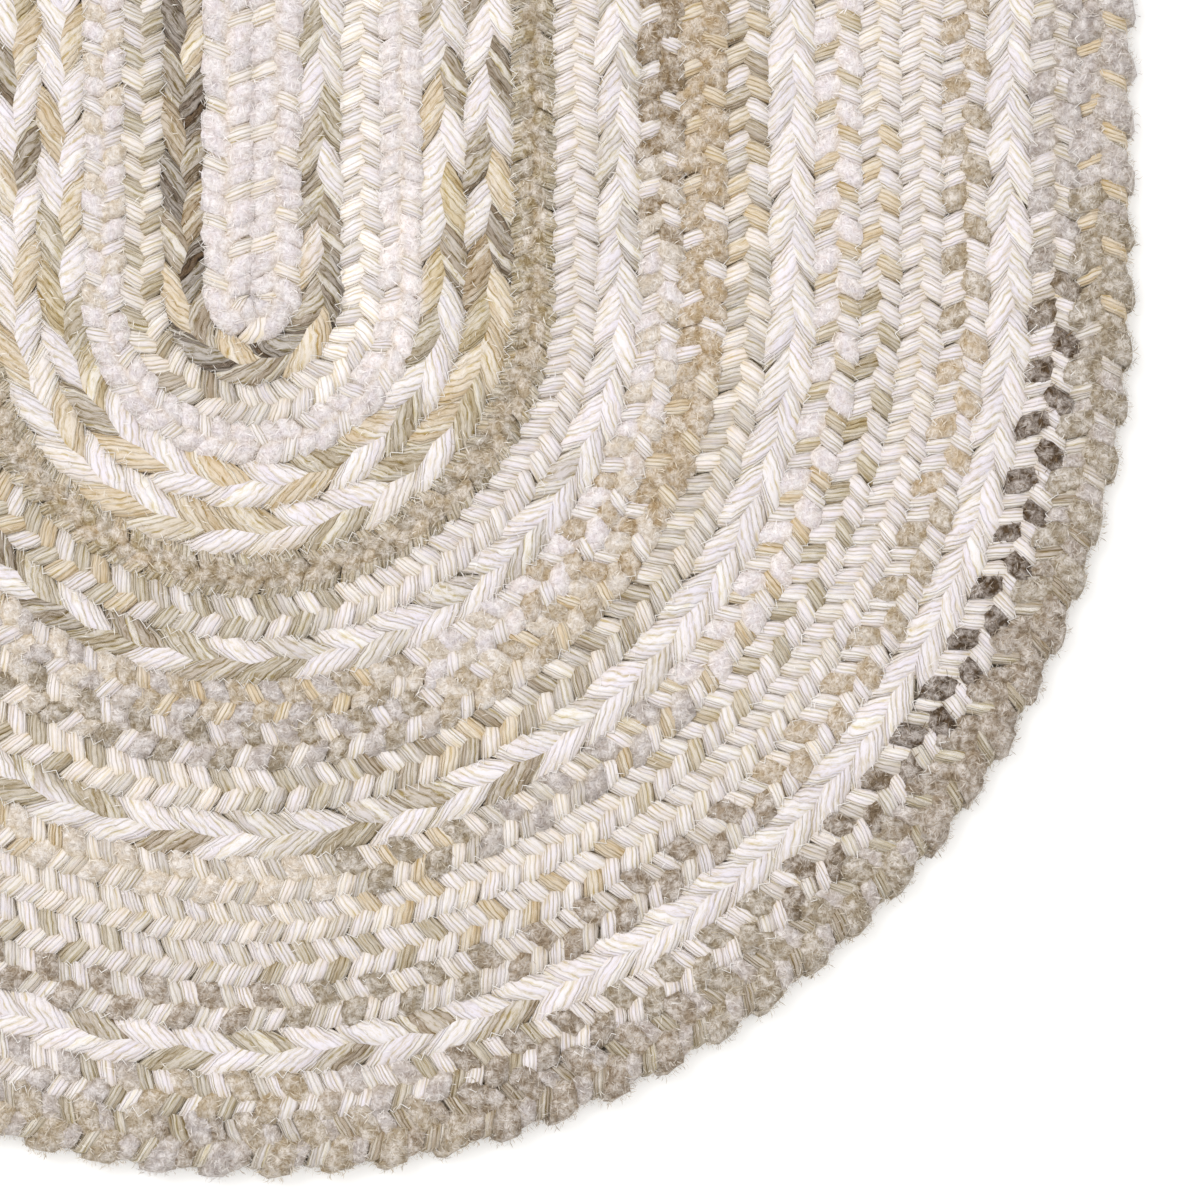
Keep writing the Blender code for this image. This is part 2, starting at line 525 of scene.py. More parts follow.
def figure_of_eight(n, phase, girth, above):
    """Where a point is, seen along the braid: (reach of its strand from -1 to 1 across the
    braid, metres sideways, metres up).

    The figure is, sideways, swing (sin(a) - k sin(3a)) / (1 + k) - skew cos(a), where k makes
    the way across straighter, and up, lift f(sin(2a)) with f(s) = 1.5s - 0.5s^3, which keeps
    a strand up until close to the side. Its slope gives the way out of it."""
    given = n.given
    sine, cosine = n.sin(phase), n.cos(phase)
    triple = n.times(phase, 3.0)
    straight = given["Straightness"]
    whole = n.plus(straight, 1.0)
    swing = n.plus(given["Swing"], n.wander(STRAY_SIDEWAYS))
    swing = n.plus(swing, n.times(n.minus(girth, 1.0), given["Bulge"]))

    double = n.sin(n.times(phase, 2.0))
    squared = n.times(double, double)
    rise = n.times(double, n.minus(1.5, n.times(squared, 0.5)))
    slope_up = n.cos(n.times(phase, 2.0))
    slope_up = n.times(slope_up, n.minus(3.0, n.times(squared, 3.0)))
    slope_up = n.times(slope_up, given["Lift"])
    pace = n.times(n.cos(triple), n.times(straight, 3.0))
    pace = n.over(n.minus(cosine, pace), whole)
    slope_out = n.plus(n.times(pace, swing), n.times(sine, given["Skew"]))
    slope = n.plus(n.times(slope_up, slope_up), n.times(slope_out, slope_out))
    slope = n.most(n.math("SQRT", slope), LEAST_SLOPE)

    reach = n.over(n.minus(sine, n.times(n.sin(triple), straight)), whole)
    sideways = n.minus(n.times(reach, swing), n.times(cosine, given["Skew"]))
    sideways = n.minus(sideways, n.times(n.over(slope_up, slope), above))
    up = n.plus(n.times(rise, given["Lift"]), given["Middle height"])
    up = n.plus(up, n.times(n.over(slope_out, slope), above))
    return reach, sideways, n.plus(up, n.wander(STRAY_UP))


def softened(n, tubes):
    """The strands with soft, ragged yarn for a surface, resting flat on the floor."""
    fluff = n.of_strand("Fluff")
    here = n.add("GeometryNodeInputPosition")
    where = n.lifted(here, n.times(n.strand, 0.31))
    push = n.times(n.minus(n.noise(where, LUMPS_SCALE, 2.0), LUMPS_MIDDLE), fluff)
    moved = n.vector("ADD", here, n.scaled(n.add("GeometryNodeInputNormal"), push))
    ragged = n.noise(where, RAGGED_SCALE, 1.0, output="Color")
    ragged = n.vector("SUBTRACT", ragged, (0.5, 0.5, 0.5))
    moved = n.vector("ADD", moved, n.scaled(ragged, fluff))
    return n.move(tubes, n.vector("MAXIMUM", moved, (NO_LIMIT, NO_LIMIT, 0.0)))


def braid_tree():
    """Three strands plaited along an oval. Seen along the braid each strand runs round a
    figure of eight, over towards one side and back under it, a third of a turn apart from
    the next, and is bent to lie along that figure."""
    each = [f"{label} {number}" for label in ("Girth", "Fluff") for number in (1, 2, 3)]
    tree = new_tree("three_strand_braid", {
        "Float": (
            "End radius", "Straight run", "Swing", "Skew", "Straightness", "Lap", "Lift",
            "Bulge", "Middle height", "Strand spread", "Strand thickness", "Unevenness", *each,
        ),
        "Int": ("Periods", "Steps per period", "Section points", "Seed"),
        "Material": ("Yarn 1", "Yarn 2", "Yarn 3"),
    })
    n = Strands(tree)
    given = n.given
    phase = n.times(n.turns, 2 * math.pi)
    girth = n.plus(n.of_strand("Girth"), n.wander(STRAY_GIRTH))
    ahead, above = section_place(n, phase, girth)
    reach, sideways, up = figure_of_eight(n, phase, girth, above)

    share_ahead = n.over(n.over(ahead, 2 * math.pi), given["Periods"])
    along = n.times(n.minus(n.share, share_ahead), n.length)
    along = n.plus(along, n.wander(STRAY_ALONG))
    along = n.math("MODULO", n.plus(along, n.length), n.length)
    place, outward = oval_place(n, along, given["End radius"], given["Straight run"])
    position = n.lifted(n.vector("ADD", place, n.scaled(outward, sideways)), up)

    tubes = n.store(plain_tubes(n), "along", n.times(n.share, n.length))
    tubes = n.store(tubes, "reach", reach)
    tubes = softened(n, n.move(tubes, position))
    tubes = n.add("GeometryNodeTriangulate", {"Mesh": tubes}, quad_method="SHORTEST_DIAGONAL")
    tubes = n.realize(n.smooth(tubes))
    for number in range(3):
        tubes = n.cover(tubes, given[f"Yarn {number + 1}"], n.is_strand(number))
    n.give(tubes)
    return tree


# --- The trees that scatter tufts and sew seams ---

TUFT_SCALES = (0.6, 1.35)
LEAST_TUFT_HEIGHT = 0.2 * MM
STITCH_STRAY = 0.35  # of a leg's length, along the seam
LEG_WIDTHS = (0.5, 1.25)
LEG_SINKS = (-0.95 * MM, 0.15 * MM)
STITCH_GAP = 0.1 * MM
UNHELD_HEIGHT = 4.0 * MM  # of a stitch that finds no braid


def tuft_tree():
    """Short loose tufts or fibres, each a thin folded blade, scattered over a braid."""
    tree = new_tree("loose_tufts", {
        "Geometry": ("Braid",),
        "Float": (
            "Per square metre", "Length", "Width", "Bow", "Least tilt", "Most tilt",
            "Least outward", "Least reach", "Most reach", "Least across", "Least up",
            "Least height",
        ),
        "Int": ("Seed",),
        "Material": ("On", "Tuft"),
    })
    n = Nodes(tree)
    given = n.given
    reach = n.stored("reach")
    from_middle = n.size(reach)
    picked = n.add("GeometryNodeMaterialSelection", {"Material": given["On"]})
    for measure, least in (
        (n.height_of(n.add("GeometryNodeInputNormal")), "Least up"),
        (reach, "Least outward"),
        (from_middle, "Least reach"),
        (n.size(n.stored("across")), "Least across"),
        (n.height_of(n.add("GeometryNodeInputPosition")), "Least height"),
    ):
        picked = n.times(picked, n.math("GREATER_THAN", measure, given[least]))
    picked = n.times(picked, n.math("LESS_THAN", from_middle, given["Most reach"]))
    density = n.times(picked, given["Per square metre"])
    spots = n.add(
        "GeometryNodeDistributePointsOnFaces",
        {"Mesh": given["Braid"], "Density": density, "Seed": given["Seed"]},
    )
    points = n.store(spots, "shade", n.chance(0.0, 1.0, 5))

    blade = n.add("GeometryNodeMeshCircle", {"Vertices": 4, "Radius": 1.0}, fill_type="NGON")
    angle = n.times(n.add("GeometryNodeInputIndex"), math.pi / 2)
    side = n.times(n.sin(angle), n.times(given["Width"], 0.5))
    forward = n.minus(1.0, n.cos(angle))
    forward = n.times(forward, n.times(given["Length"], 0.5))
    raised = n.times(n.size(n.sin(angle)), given["Bow"])
    blade = n.move(blade, n.xyz(side, forward, raised))

    tufts = n.add("GeometryNodeInstanceOnPoints", {
        "Points": points, "Instance": blade, "Rotation": spots.outputs["Rotation"],
        "Scale": n.chance(*TUFT_SCALES, 7),
    })
    tilt = n.chance(given["Least tilt"], given["Most tilt"], 9)
    turn = n.xyz(tilt, 0.0, n.chance(0.0, 2 * math.pi, 11))
    tufts = n.add("GeometryNodeRotateInstances", {"Instances": tufts, "Rotation": turn})
    tufts = n.realize(tufts)
    lowest = (NO_LIMIT, NO_LIMIT, LEAST_TUFT_HEIGHT)
    tufts = n.move(tufts, n.vector("MAXIMUM", n.add("GeometryNodeInputPosition"), lowest))
    n.give(n.cover(n.smooth(tufts), given["Tuft"]))
    return tree


def stitch_tree():
    """A zigzag of sewing thread along one seam, laid on the two braids that it joins."""
    tree = new_tree("zigzag_seam", {
        "Float": (
            "Seam radius", "Straight run", "Half width", "Start height", "Way",
            "Least height", "Thickness",
        ),
        "Int": ("Legs", "Seed"),
        "Bool": ("Flat",),
        "Object": ("Inner braid", "Outer braid"),
        "Material": ("Thread",),
    })
    n = Nodes(tree)
    given = n.given
    radius, run = given["Seam radius"], given["Straight run"]

    def chance(low, high, seed):
        return n.chance(low, high, n.plus(given["Seed"], seed))

    index = n.add("GeometryNodeSplineParameter").outputs["Index"]
    step = n.plus(index, chance(-STITCH_STRAY, STITCH_STRAY, 1))
    share = n.math("FRACT", n.plus(n.over(step, given["Legs"]), 1.0))
    along = n.times(ring_length(n, radius, run), share)
    place, outward = oval_place(n, along, radius, run)
    sign = n.minus(n.times(n.math("MODULO", index, 2.0), 2.0), 1.0)
    aside = n.times(n.times(sign, given["Half width"]), chance(*LEG_WIDTHS, 2))
    place = n.vector("ADD", place, n.scaled(outward, aside))

    # The thread drops onto the braids, or comes up to them from below, and sinks in a little.
    braids = n.add("GeometryNodeJoinGeometry")
    for label in ("Inner braid", "Outer braid"):
        info = n.add("GeometryNodeObjectInfo", {"Object": given[label]})
        tree.links.new(info.outputs["Geometry"], braids.inputs[0])
    cast = n.add("GeometryNodeRaycast", {
        "Target Geometry": braids,
        "Source Position": n.lifted(place, given["Start height"]),
        "Ray Direction": n.xyz(0.0, 0.0, given["Way"]), "Ray Length": 30.0 * MM,
    })
    height = n.height_of(cast.outputs["Hit Position"])
    height = n.minus(height, n.times(given["Way"], STITCH_GAP))
    height = n.most(height, given["Least height"])
    height = n.minus(height, n.times(given["Way"], chance(*LEG_SINKS, 3)))
    height = n.switch(cast.outputs["Is Hit"], UNHELD_HEIGHT, height)

    line = n.circle(given["Legs"], 1.0)
    line = n.move(line, n.lifted(place, height))
    line = n.add("GeometryNodeSetCurveNormal", {"Curve": line}, mode="Z_UP")
    half = n.times(given["Thickness"], 0.5)
    round_section = n.circle(3, half)
    flat_section = n.add(
        "GeometryNodeCurvePrimitiveLine",
        {"Start": n.xyz(n.times(half, -1.0), 0.0, 0.0), "End": n.xyz(half, 0.0, 0.0)},
    )
    section = n.switch(given["Flat"], round_section, flat_section, "GEOMETRY")
    thread = n.realize(n.smooth(n.sweep(line, section)))
    n.give(n.cover(thread, given["Thread"]))
    return tree


def new_object(name, data):
    """A new object in the scene, at the origin."""
    obj = bpy.data.objects.new(name, data)
    bpy.context.scene.collection.objects.link(obj)
    return obj


def bake(name, tree, sizes, mesh=None):
    """A plain mesh object of what the tree makes, from this mesh if one is given."""
    maker = new_object(name + "_maker", mesh or bpy.data.meshes.new(name + "_maker"))
    modifier = maker.modifiers.new("make", "NODES")
    modifier.node_group = tree
    for item in tree.interface.items_tree:
        if item.in_out == "INPUT" and item.name in sizes:
            modifier[item.identifier] = sizes[item.name]
    bpy.context.view_layer.update()
    graph = bpy.context.evaluated_depsgraph_get()
    mesh = bpy.data.meshes.new_from_object(maker.evaluated_get(graph))
    bpy.data.objects.remove(maker, do_unlink=True)
    mesh.name = name
    return new_object(name, mesh)


# --- Materials ---

# Cotton yarns round the outside of one strand of each kind of braid.
YARNS_ROUND = {"plait": 22.0, "herringbone": 15.0, "chenille": 15.0}

# Tones that a dye is multiplied by or mixed with, in linear light.
SHADE_WARMTH = (0.98, 0.90, 0.48, 1)  # shade between yarns deepens their colour, and warms it
DEEP_DYE = (1.3, 1.38, 1.45, 1)
PALE_DYE = (0.83, 0.805, 0.785, 1)
FROSTED_TIPS = (0.86, 0.82, 0.82, 1)
# painted shade between the tufts of chenille pile
PILE_SHADE = (0.72, 0.68, 0.60, 1)
DULL_TUFT = (0.84, 0.81, 0.76, 1)
PALE_TUFT = (0.88, 0.86, 0.83, 1)
THREAD_COLOUR = (0.84, 0.81, 0.78, 1)

DYE_RANGE = (0.3, 0.72)  # the green of the darkest dye and of the palest

# Noise: how many waves to a metre, and how much detail and roughness they have. A range is
# the part of a noise, or of another measure, that is stretched from nothing to full.
Waves = namedtuple("Waves", "scale detail roughness", defaults=(0.5,))
# painted shade at a strand's edges, over this part of its width
EDGE_SHADE_RANGE = (0.62, 1.0)  # from the middle of a strand to where it tucks in
SIDE_RANGE = (0.62, 0.72)  # from the middle of a braid, where chenille gives way to cotton
SIDE_WAVES = Waves(330.0, 3.0, 0.7)

# Cotton yarns. A pair of waves is how many to a yarn and how many to a metre along it.
YARN_TWIST = -1.5  # turns round the strand in a metre
SWAY = Waves(70.0, 1.0)
SWAY_TURNS = 0.06
RIPPLE = Waves(260.0, 1.0)
RIPPLE_TURNS = 0.025
UNEVEN_WAVES = (0.55, 45.0)
UNEVEN_YARNS = 1.7
# The line of painted shade between neighbouring yarns: its gaps, and how sharp it is.
SHADE_LINE_WAVES = (3.7, 230.0)
SHADE_LINE_RANGE = (0.38, 0.6)
SHADE_LINE_SHARPNESS = 3.5  # a power of the way out from a yarn's middle, as its roundness is
YARN_ROUNDNESS = 2.5
STREAK_WAVES = (2.8, 260.0)
STREAK_RANGE = (0.34, 0.56)
STREAK_LIGHTEST = 1.12
FINE_HAIRS = Waves(2100.0, 1.0)
DEEPER_SHARE = 0.6
PALER_SHARE = 0.78
DEEPER_OFTEN = 1.3  # a power, over 1 where more yarns are deeper than paler
# painted shade at a cotton strand's edges
COTTON_EDGE_SHADE = (0.12, 0.22)  # how dark its edges are in a tight braid, and in a loose one

# Chenille pile, whose hairs lie one way in some places and the other way in others.
PILE_SWAY = Waves(280.0, 1.0)
PILE_SWAY_REACH = 5.0 * MM
ONE_WAY = (2600.0, 650.0, 900.0)  # waves to a metre in x, y and z
OTHER_WAY = (650.0, 2600.0, 900.0)
WAY_WAVES = Waves(330.0, 0.0)
WAY_RANGE = (0.45, 0.55)
HAIR_RANGE = (0.36, 0.62)
TUFT_WAVES = Waves(500.0, 3.0, 0.7)
TUFT_RANGE = (0.36, 0.56)
TUFT_LIGHT = (0.1, 0.9)
PATCH_WAVES = Waves(260.0, 2.0, 0.6)
PATCH_RANGE = (0.38, 0.64)
# painted shade at a chenille strand's edges
PILE_EDGE_SHADE = 0.28

# How deep the painted shade of streaks, lines and hairs goes on brown yarn, and on white, which
# shows them less.
STREAK_DARKEST = (0.0, 0.48)
SHADE_LINE_DEPTH = (1.0, 0.78)
HAIR_DEPTH = (0.85, 0.5)


def spread(n, value, low, high, to_low=0.0, to_high=1.0):
    """The value with its range from low to high stretched over another, and held in it."""
    return n.add("ShaderNodeMapRange", {
        "Value": value, "From Min": low, "From Max": high, "To Min": to_low, "To Max": to_high,
    }).outputs[0]


def blend(n, share, a, b, mode="MIX"):
    feeds = {0: share, 6: a, 7: b}
    return n.add("ShaderNodeMix", feeds, data_type="RGBA", blend_type=mode).outputs[2]


def multiplied(n, a, b):
    return blend(n, 1.0, a, b, "MULTIPLY")


def either(n, share, a, b):
    """A number between two others."""
    return n.add("ShaderNodeMix", {0: share, 2: a, 3: b}, data_type="FLOAT").outputs[0]


def attribute(n, name, output="Fac"):
    return n.add("ShaderNodeAttribute", attribute_name=name).outputs[output]


def object_place(n):
    return n.add("ShaderNodeTexCoord").outputs["Object"]


def paleness(n):
    """How pale a yarn's dye is: 0 for brown, 1 for white."""
    green = n.add("ShaderNodeSeparateColor", {0: attribute(n, "dye_and_shade", "Color")}).outputs[1]
    return spread(n, green, *DYE_RANGE)


def by_paleness(n, on_brown, on_white):
    return spread(n, paleness(n), 0.0, 1.0, on_brown, on_white)


def painted_edge_shade(n, strength):
    """Painted shade: how dark a strand is painted towards its own edges, where it tucks in
    between the others.
    """
    return n.times(spread(n, n.size(attribute(n, "across")), *EDGE_SHADE_RANGE), strength)


def yarn_place(n, yarns, along, strand, waves):
    """A place in a noise with these waves to a yarn and to a metre along it."""
    return n.xyz(n.times(yarns, waves[0]), n.times(along, waves[1]), strand)


def yarns_round(n, along, strand, round_it):
    """(turns round the strand, yarns counted round it), both swaying a little on the way."""
    spot = object_place(n)
    turned = n.math("ARCTAN2", attribute(n, "deep"), attribute(n, "across"))
    turned = n.plus(n.over(turned, 2 * math.pi), n.times(along, YARN_TWIST))
    turned = n.plus(turned, n.times(n.noise(spot, *SWAY), SWAY_TURNS))
    turned = n.plus(turned, n.times(n.noise(spot, *RIPPLE), RIPPLE_TURNS))
    yarns = n.times(turned, round_it)
    uneven = n.noise(yarn_place(n, yarns, along, strand, UNEVEN_WAVES), 1.0, 1.0)
    return turned, n.plus(yarns, n.times(uneven, UNEVEN_YARNS))


def twisted_yarns(n):
    """(colour, height) of bundles of soft twisted yarns: each yarn round and a tone of its own,
    with a fine line of painted shade between neighbours, and streaks where its plies turn,
    partly the fibres' own tone and partly painted shade."""
    dye_and_shade, along = attribute(n, "dye_and_shade", "Color"), attribute(n, "along")
    strand, round_it = attribute(n, "strand"), attribute(n, "yarns")
    turned, yarns = yarns_round(n, along, strand, round_it)
    which = n.math("FLOORED_MODULO", n.math("FLOOR", yarns), round_it)
    own = n.add(
        "ShaderNodeTexWhiteNoise", {"Vector": n.xyz(which, strand, 0.0)}, noise_dimensions="3D"
    ).outputs["Value"]
    from_middle = n.size(n.minus(n.times(n.math("FRACT", yarns), 2.0), 1.0))
    breaks = n.noise(yarn_place(n, which, along, strand, SHADE_LINE_WAVES), 1.0)
    line = n.math("POWER", from_middle, SHADE_LINE_SHARPNESS)
    line = n.times(line, spread(n, breaks, *SHADE_LINE_RANGE))
    around = n.times(round_it, STREAK_WAVES[0])
    where = n.xyz(n.times(turned, around), n.times(along, STREAK_WAVES[1]), strand)
    streaks = n.noise(where, 1.0, 3.0, 0.75)

    darkest = by_paleness(n, *STREAK_DARKEST)
    light = spread(n, streaks, *STREAK_RANGE, darkest, STREAK_LIGHTEST)
    # painted shade in the line between neighbouring yarns
    light = n.minus(light, n.times(line, by_paleness(n, *SHADE_LINE_DEPTH)))
    tight, loose = YARNS_ROUND["herringbone"], YARNS_ROUND["plait"]
    # painted shade towards the strand's edges
    light = n.minus(light, painted_edge_shade(n, spread(n, round_it, tight, loose, *COTTON_EDGE_SHADE)))
    light = n.add("ShaderNodeClamp", {"Value": light})
    deeper = multiplied(n, multiplied(n, dye_and_shade, dye_and_shade), DEEP_DYE)
    deeper = blend(n, DEEPER_SHARE, dye_and_shade, deeper)
    paler = blend(n, PALER_SHARE, dye_and_shade, PALE_DYE)
    dyed = blend(n, n.math("POWER", own, DEEPER_OFTEN), deeper, paler)
    # the painted shade colour, deeper and warmer than the dye
    shaded = multiplied(n, multiplied(n, dyed, dyed), SHADE_WARMTH)

    height = n.minus(n.times(streaks, 0.7), n.math("POWER", from_middle, YARN_ROUNDNESS))
    fine = n.times(n.noise(object_place(n), *FINE_HAIRS), 0.25)
    return blend(n, light, shaded, dyed), n.plus(height, fine)


def fluffy_pile(n):
    """(colour, height) of a pile of short soft tufts, pale at their tips, with painted shade
    dulling them between and at the strand's edges.
    """
    dye_and_shade = attribute(n, "dye_and_shade", "Color")
    spot = object_place(n)
    sway = n.noise(spot, *PILE_SWAY, output="Color")
    sway = n.scaled(n.vector("SUBTRACT", sway, (0.5, 0.5, 0.5)), PILE_SWAY_REACH)
    swayed = n.vector("ADD", spot, sway)
    one_way = n.noise(n.vector("MULTIPLY", swayed, ONE_WAY), 1.0, 2.0, 0.6)
    other_way = n.noise(n.vector("MULTIPLY", swayed, OTHER_WAY), 1.0, 2.0, 0.6)
    way = spread(n, n.noise(spot, *WAY_WAVES), *WAY_RANGE)
    hairs = either(n, way, one_way, other_way)
    tufts = n.noise(spot, *TUFT_WAVES)
    hairy = spread(n, hairs, *HAIR_RANGE, -1.0, 1.0)
    hairy = n.times(hairy, by_paleness(n, *HAIR_DEPTH))
    light = n.plus(spread(n, tufts, *TUFT_RANGE, *TUFT_LIGHT), hairy)
    # painted shade towards the strand's edges
    light = n.minus(light, painted_edge_shade(n, PILE_EDGE_SHADE))
    light = n.add("ShaderNodeClamp", {"Value": light})
    frosted = blend(n, 0.5, dye_and_shade, FROSTED_TIPS)
    deep = blend(n, 0.6, dye_and_shade, multiplied(n, dye_and_shade, dye_and_shade))
    patches = spread(n, n.noise(spot, *PATCH_WAVES), *PATCH_RANGE)
    pile = blend(n, patches, deep, frosted)
    # painted shade between the tufts, deeper on darker dye
    shade = blend(n, 0.55, PILE_SHADE, dye_and_shade)
    colour = blend(n, light, multiplied(n, pile, shade), pile)
    return colour, n.plus(tufts, n.times(hairs, 0.8))


def chenille_in_cotton(n):
    """(colour, height) of cotton at the sides of the braid, and chenille in its middle."""
    cotton_colour, cotton_height = twisted_yarns(n)
    pile_colour, pile_height = fluffy_pile(n)
    ragged = n.times(n.minus(n.noise(object_place(n), *SIDE_WAVES), 0.5), 0.9)
    from_middle = n.plus(n.size(attribute(n, "reach")), ragged)
    side = spread(n, from_middle, *SIDE_RANGE)
    height = either(n, side, pile_height, cotton_height)
    return blend(n, side, pile_colour, cotton_colour), height


def plain_material(name, roughness, specular=0.2):
    """A new material with this roughness, and its nodes."""
    material = bpy.data.materials.new(name)
    material.use_nodes = True
    shader = material.node_tree.nodes["Principled BSDF"]
    shader.inputs["Roughness"].default_value = roughness
    shader.inputs["Specular IOR Level"].default_value = specular
    return material, Nodes(material.node_tree), shader.inputs


def soft_cloth(name, surface, depth, strength, roughness, sheen):
    """Cloth whose surface is (colour, height), made by this function in its nodes."""
    material, n, shader = plain_material(name, roughness)
    colour, height = surface(n)
    n.feed(shader["Base Color"], colour)
    feeds = {"Height": height, "Strength": strength, "Distance": depth}
    n.feed(shader["Normal"], n.add("ShaderNodeBump", feeds))
    shader["Sheen Weight"].default_value = sheen
    shader["Sheen Roughness"].default_value = 0.5
    return material


def cotton_material():
    return soft_cloth("twisted_cotton", twisted_yarns, 0.5 * MM, 0.85, 0.85, 0.1)


def chenille_material():
    return soft_cloth("fluffy_chenille", fluffy_pile, 1.0 * MM, 0.8, 1.0, 0.15)


def mixed_material():
    return soft_cloth("chenille_in_cotton", chenille_in_cotton, 0.8 * MM, 0.8, 0.95, 0.1)


def tuft_material(name, most_pale):
    """Loose tufts and fibres, dyed as the strand that they stand on, and up to this pale."""
    material, n, shader = plain_material(name, 0.9)
    dye_and_shade = attribute(n, "dye_and_shade", "Color")
    dull = multiplied(n, dye_and_shade, DULL_TUFT)
    pale = blend(n, most_pale, dye_and_shade, PALE_TUFT)
    n.feed(shader["Base Color"], blend(n, attribute(n, "shade"), dull, pale))
    return material


def thread_material():
    material, _, shader = plain_material("sewing_thread", 0.6, 0.5)
    shader["Base Color"].default_value = THREAD_COLOUR
    return material


# --- The braids ---

# How far each fibre's yarn stands in and out, in millimetres.
FLUFF = {"cotton": 0.7, "mixed": 1.4, "chenille": 3.2}
# How thick a strand is, as a share of its weave's: chenille more so when it is on its own.
COTTON_GIRTH = 0.98
CHENILLE_GIRTH = 1.14
LONE_CHENILLE_GIRTH = 1.25
# The outermost braid's thickest strand makes the lumps along the rug's rim.
RIM = {"Girth 1": 1.4, "Girth 2": 0.95, "Girth 3": 1.0, "Bulge": 5.0 * MM}

DYE_RUN = (22, 75)  # least and most millimetres of a strand in one yarn
DYE_LOOK_AHEAD = 20.0 * MM  # from the start of a run to where its dye is looked up
DYE_FADE = 6.0 * MM
DYE_STRENGTH = (0.92, 1.02)
# Painted shade: yarn seen deep between others, within this range above and below the middle, is
# painted warmer and a little darker, most of all at the middle.
DEEP_PAINTED_SHADE = (1.01, 0.95, 0.76)
DEEP_SHADE_RANGE = 4.2 * MM


def ring_round(radius):
    """The length of a ring whose ends have this radius."""
    return 2 * STRAIGHT_RUN + 2 * math.pi * radius


def place_of(along, radius, length):
    """Where a distance along the ring is, counted from 0 to 4 as for the dyes."""
    side, rest = divmod(along % length, length / 2)
    past = max(rest - STRAIGHT_RUN, 0.0)
    return 2 * side + min(rest, STRAIGHT_RUN) / STRAIGHT_RUN + past / (math.pi * radius)


def dye_colours(radius, strand, along, length, seed):
    """The colour of each point of one strand: its yarns take turns, each for a few
    centimetres, and one runs into the next over a few millimetres."""
    chance = random.Random(seed)
    edges, colours = [0.0], []
    while edges[-1] < length:
        place = place_of(edges[-1] + DYE_LOOK_AHEAD, radius, length)
        yarns = [held.yarns for held in strand.dyes if held.start <= place][-1]
        colours.append(linear(chance.choice(yarns)) * chance.uniform(*DYE_STRENGTH))
        edges.append(edges[-1] + chance.uniform(*DYE_RUN) * MM)
    colours = np.array(colours)
    run = np.clip(np.searchsorted(edges, along, side="right") - 1, 0, len(colours) - 1)
    following = np.minimum(run + 1, len(colours) - 1)
    to_next = np.array(edges)[run + 1] - along
    share = np.clip(1.0 - to_next / DYE_FADE, 0.0, 1.0)[:, None] * 0.5
    return colours[run] * (1 - share) + colours[following] * share


def keep(obj, node):
    """Attaches a finished piece to the root body, and hides the CAD part of this node if one is
    given.
    """
    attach(obj, "root")
    if node:
        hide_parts(node)
    return obj


def values_of(mesh, name, kind):
    """What each point of the mesh has stored under this name."""
    values = np.empty(len(mesh.vertices), kind)
    mesh.attributes[name].data.foreach_get("value", values)
    return values


def dye_braid(mesh, row, number, radius):
    """Stores the colour of every point, its dye with painted shade where it lies deep in the
    braid, and how many yarns are round its strand.
    """
    count = len(mesh.vertices)
    points = np.empty(count * 3, np.float32)
    mesh.vertices.foreach_get("co", points)
    strands, along = values_of(mesh, "strand", np.int32), values_of(mesh, "along", np.float32)
    dye_and_shade = np.ones((count, 4), np.float32)
    for i, strand in enumerate(row.strands):
        mine = strands == i
        dye_and_shade[mine, :3] = dye_colours(
            radius, strand, along[mine], ring_round(radius), number * 10 + i
        )
    # painted shade: darker and warmer towards the middle height, where the yarn lies deep
    # between others
    out_of_shade = np.clip(abs(points[2::3] - MIDDLE_HEIGHT) / DEEP_SHADE_RANGE, 0.0, 1.0)[:, None]
    dye_and_shade[:, :3] *= np.array(DEEP_PAINTED_SHADE) * (1 - out_of_shade) + out_of_shade
    mesh.attributes.new("dye_and_shade", "FLOAT_COLOR", "POINT").data.foreach_set("color", dye_and_shade.ravel())
    yarns = np.full(count, YARNS_ROUND[row.kind], np.float32)
    mesh.attributes.new("yarns", "FLOAT", "POINT").data.foreach_set("value", yarns)


def make_braid(tree, row, number, radius, materials):
    weave = WEAVES[row.kind]
    sizes = {
        "End radius": radius,
        "Straight run": STRAIGHT_RUN,
        "Periods": round(ring_round(radius) / (weave.period * MM)),
        "Steps per period": weave.steps,
        "Swing": row.width * MM / 2 + (weave.press - weave.thick / 2) * MM,
        "Skew": weave.skew * MM,
        "Straightness": weave.straight,
        "Lap": weave.lap * MM,
        "Bulge": 0.0,
        "Lift": (weave.height * MM - weave.thick * MM) / 2,
        "Middle height": weave.height * MM / 2,
        "Strand spread": math.radians(weave.spread),
        "Strand thickness": weave.thick * MM,
        "Section points": weave.points,
        "Unevenness": weave.uneven * MM,
        "Seed": number,
    }
    alone = [strand.fibre for strand in row.strands].count("chenille") == 1
    girths = {"chenille": LONE_CHENILLE_GIRTH if alone else CHENILLE_GIRTH}
    for i, strand in enumerate(row.strands, start=1):
        sizes[f"Girth {i}"] = girths.get(strand.fibre, COTTON_GIRTH)
        sizes[f"Fluff {i}"] = FLUFF[strand.fibre] * MM
        sizes[f"Yarn {i}"] = materials[strand.fibre]
    if row is ROWS[-1]:
        sizes.update(RIM)
    braid = bake(row.node + "_strands", tree, sizes)
    dye_braid(braid.data, row, number, radius)
    return keep(braid, row.node)


# --- Tufts, fibres and thread ---

